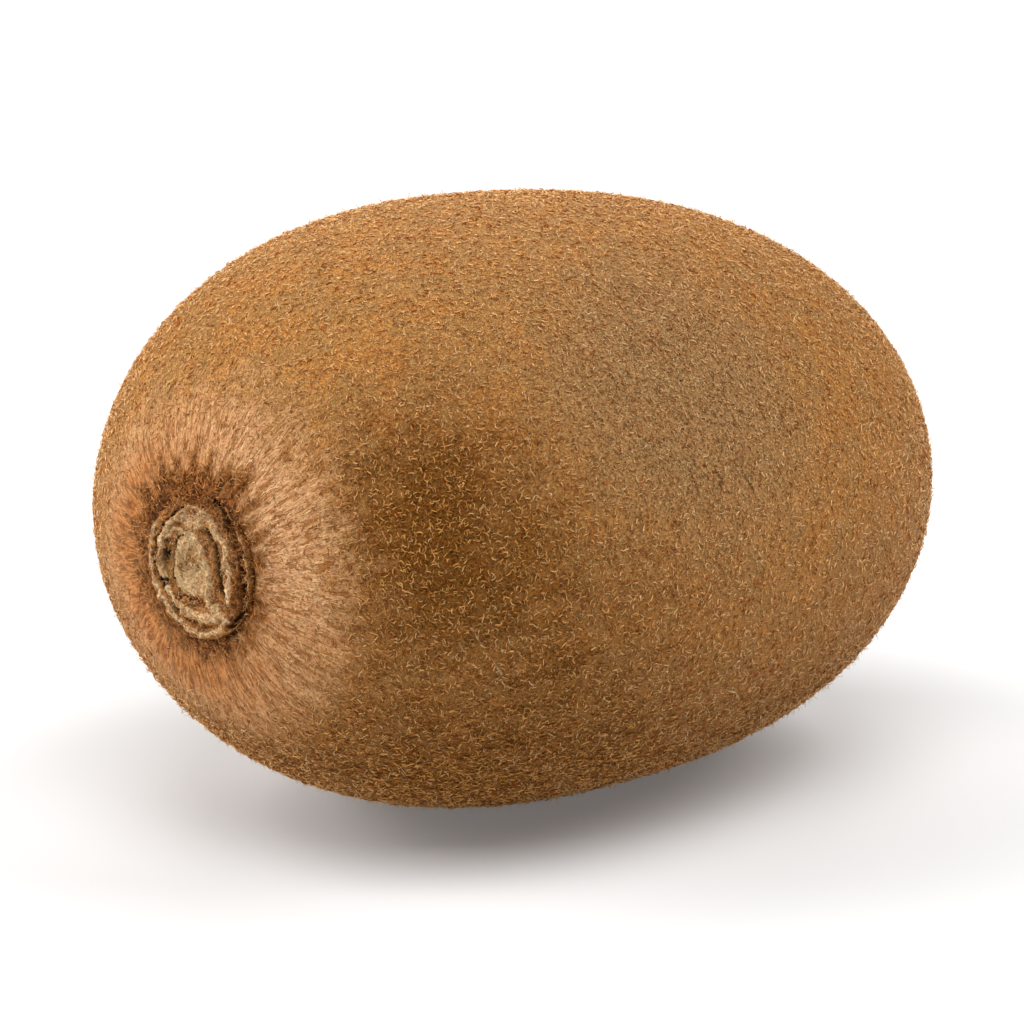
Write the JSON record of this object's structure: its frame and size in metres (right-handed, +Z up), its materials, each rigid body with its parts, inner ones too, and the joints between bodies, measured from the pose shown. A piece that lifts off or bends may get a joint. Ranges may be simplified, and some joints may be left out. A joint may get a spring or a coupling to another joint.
{
  "type": "kiwi fruit",
  "caption": "Whole fuzzy kiwi fruit lying on its side, with a ringed woody stem scar at one end and dried styles at the other.",
  "frame": {"origin": "centre of the bounding box on the surface that the fruit rests on", "axes": "+Z up, +Y along the fruit from the stem end to the blossom end, +X to its right as seen from the stem end"},
  "size_m": [0.0502, 0.0708, 0.044],
  "materials": {
    "kiwi_skin": "dull olive-brown skin under a coat of short golden-brown hairs, woody at both ends"
  },
  "bodies": {
    "root": {"kiwi_fruit": "kiwi_skin"}
  },
  "joints": []
}
